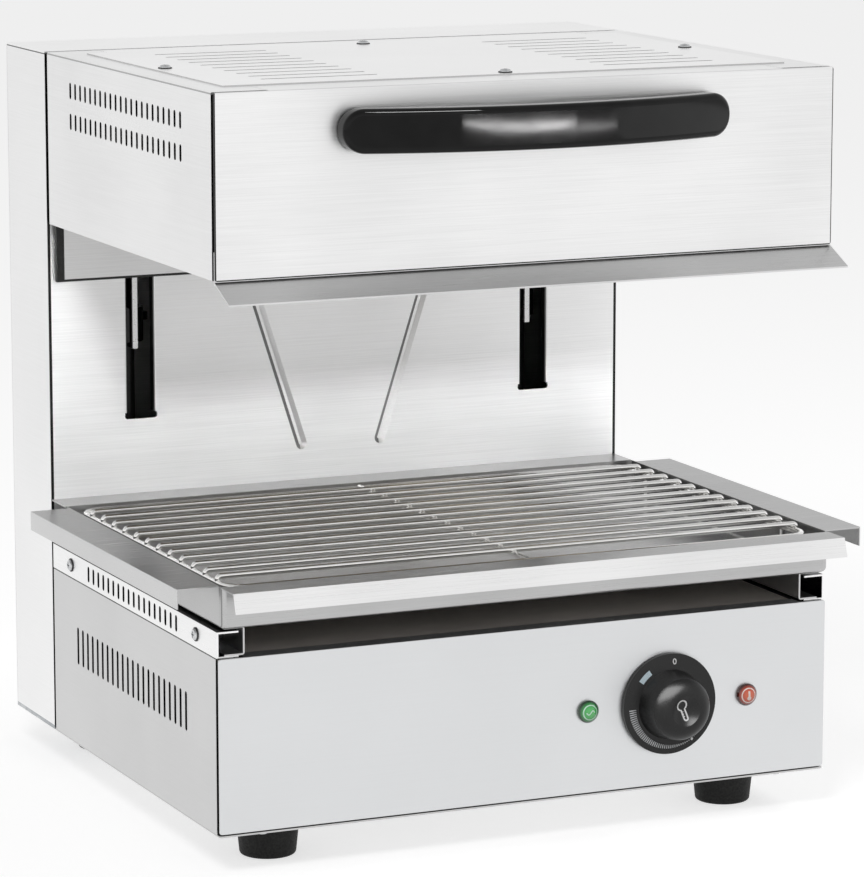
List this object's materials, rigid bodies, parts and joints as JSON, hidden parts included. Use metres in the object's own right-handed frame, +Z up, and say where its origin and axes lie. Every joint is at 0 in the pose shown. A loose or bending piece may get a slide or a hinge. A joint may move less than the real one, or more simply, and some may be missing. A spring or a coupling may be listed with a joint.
{
  "type": "salamander grill",
  "caption": "Countertop salamander grill: a counterbalanced heated hood slides on a rear column above a wire grid in a pull-out drip tray, with a regulator knob below.",
  "frame": {"origin": "on the standing surface, under the middle of the overall box", "axes": "+X to the right seen from the front, +Y to the rear, +Z up"},
  "size_m": [0.534, 0.4744, 0.5484],
  "materials": {
    "brushed_stainless": "fine straight brushing",
    "front_stainless": "satin, pale grey",
    "galvanised": "plain zinc",
    "bright_wire": "bright plated",
    "screw_steel": "bright zinc",
    "ground_rod": "ground and polished",
    "reflector_steel": "bright rolled, heat tinted",
    "element_sheath": "dark oxide",
    "carriage_black": "satin black",
    "weight_iron": "raw",
    "bush_bronze": "oiled",
    "handle_black": "gloss black",
    "knob_black": "satin black",
    "foot_rubber": "matt",
    "pulley_nylon": "moulded",
    "moulding_black": "moulded",
    "ceramic_white": "unglazed",
    "lens_green": "translucent",
    "lens_red": "translucent",
    "rope_steel": "stranded wire",
    "insulation_wool": "mineral wool"
  },
  "bodies": {
    "base": {"base_bottom": "brushed_stainless", "base_side_left": "brushed_stainless", "base_side_right": "brushed_stainless", "base_front": "front_stainless", "base_top": "brushed_stainless", "rail_outer_left": "brushed_stainless", "rail_outer_right": "brushed_stainless", "rail_inner_left": "brushed_stainless", "rail_inner_right": "brushed_stainless", "rail_spacers": "galvanised", "panel_screws": "screw_steel", "feet": "foot_rubber", "foot_screws": "screw_steel", "regulator_body": "moulding_black", "green_lens": "lens_green", "red_lens": "lens_red", "lamp_bodies": "moulding_black", "terminal_block": "moulding_black", "cable_gland": "moulding_black", "column_floor": "galvanised", "column_front": "brushed_stainless", "column_side_left": "brushed_stainless", "column_side_right": "brushed_stainless", "column_cap": "brushed_stainless", "back_cover": "brushed_stainless", "crossbar": "galvanised", "guide_rods": "ground_rod", "weight_rods": "ground_rod", "pulley_brackets": "galvanised", "pulley_pins": "screw_steel", "rope_wraps": "rope_steel"},
    "hood": {"hood_side_left": "brushed_stainless", "hood_side_right": "brushed_stainless", "hood_front": "front_stainless", "hood_back": "brushed_stainless", "carriage_plate": "carriage_black", "hood_top_rail": "brushed_stainless", "hood_cover": "brushed_stainless", "hood_screws": "screw_steel", "visor": "brushed_stainless", "handle": "handle_black", "handle_spacers": "brushed_stainless", "reflector": "reflector_steel", "insulation": "insulation_wool", "heating_elements": "element_sheath", "element_ceramics": "ceramic_white", "element_hangers": "galvanised", "lift_arm_left": "galvanised", "lift_arm_right": "galvanised", "guide_bushes": "bush_bronze", "hood_ropes": "rope_steel"},
    "counterweight": {"counterweight": "weight_iron", "weight_ropes": "rope_steel"},
    "pulley_left": {"pulley_left": "pulley_nylon"},
    "pulley_right": {"pulley_right": "pulley_nylon"},
    "tray": {"drip_tray": "brushed_stainless"},
    "grid": {"wire_grid": "bright_wire", "grid_legs": "bright_wire"},
    "knob": {"knob": "knob_black", "regulator_shaft": "ground_rod"}
  },
  "joints": [
    {"name": "hood_lift", "type": "slide", "parent": "base", "child": "hood", "axis": [0, 0, 1], "range_m": [-0.118, 0], "deforming": ["hood_ropes"]},
    {"name": "weight_slide", "type": "slide", "parent": "base", "child": "counterweight", "axis": [0, 0, 1], "range_m": [0, 0.118], "deforming": ["weight_ropes"]},
    {"name": "pulley_left_turn", "type": "hinge", "parent": "base", "child": "pulley_left", "pos_m": [-0.12, 0.2148, 0.4798], "axis": [0, 1, 0], "range_deg": [-226, 0]},
    {"name": "pulley_right_turn", "type": "hinge", "parent": "base", "child": "pulley_right", "pos_m": [0.12, 0.2148, 0.4798], "axis": [0, 1, 0], "range_deg": [0, 226]},
    {"name": "tray_slide", "type": "slide", "parent": "base", "child": "tray", "axis": [0, -1, 0], "range_m": [0, 0.3]},
    {"name": "grid_lift", "type": "slide", "parent": "tray", "child": "grid", "axis": [0, 0, 1], "range_m": [0, 0.05]},
    {"name": "knob_turn", "type": "hinge", "parent": "base", "child": "knob", "pos_m": [0.1088, -0.1962, 0.0912], "axis": [0, 1, 0], "range_deg": [0, 230]}
  ],
  "couplings": [
    {"joint": "weight_slide", "follows": "hood_lift", "ratio": -1},
    {"joint": "pulley_left_turn", "follows": "hood_lift", "rad_per_m": 33.333},
    {"joint": "pulley_right_turn", "follows": "hood_lift", "rad_per_m": -33.333}
  ]
}
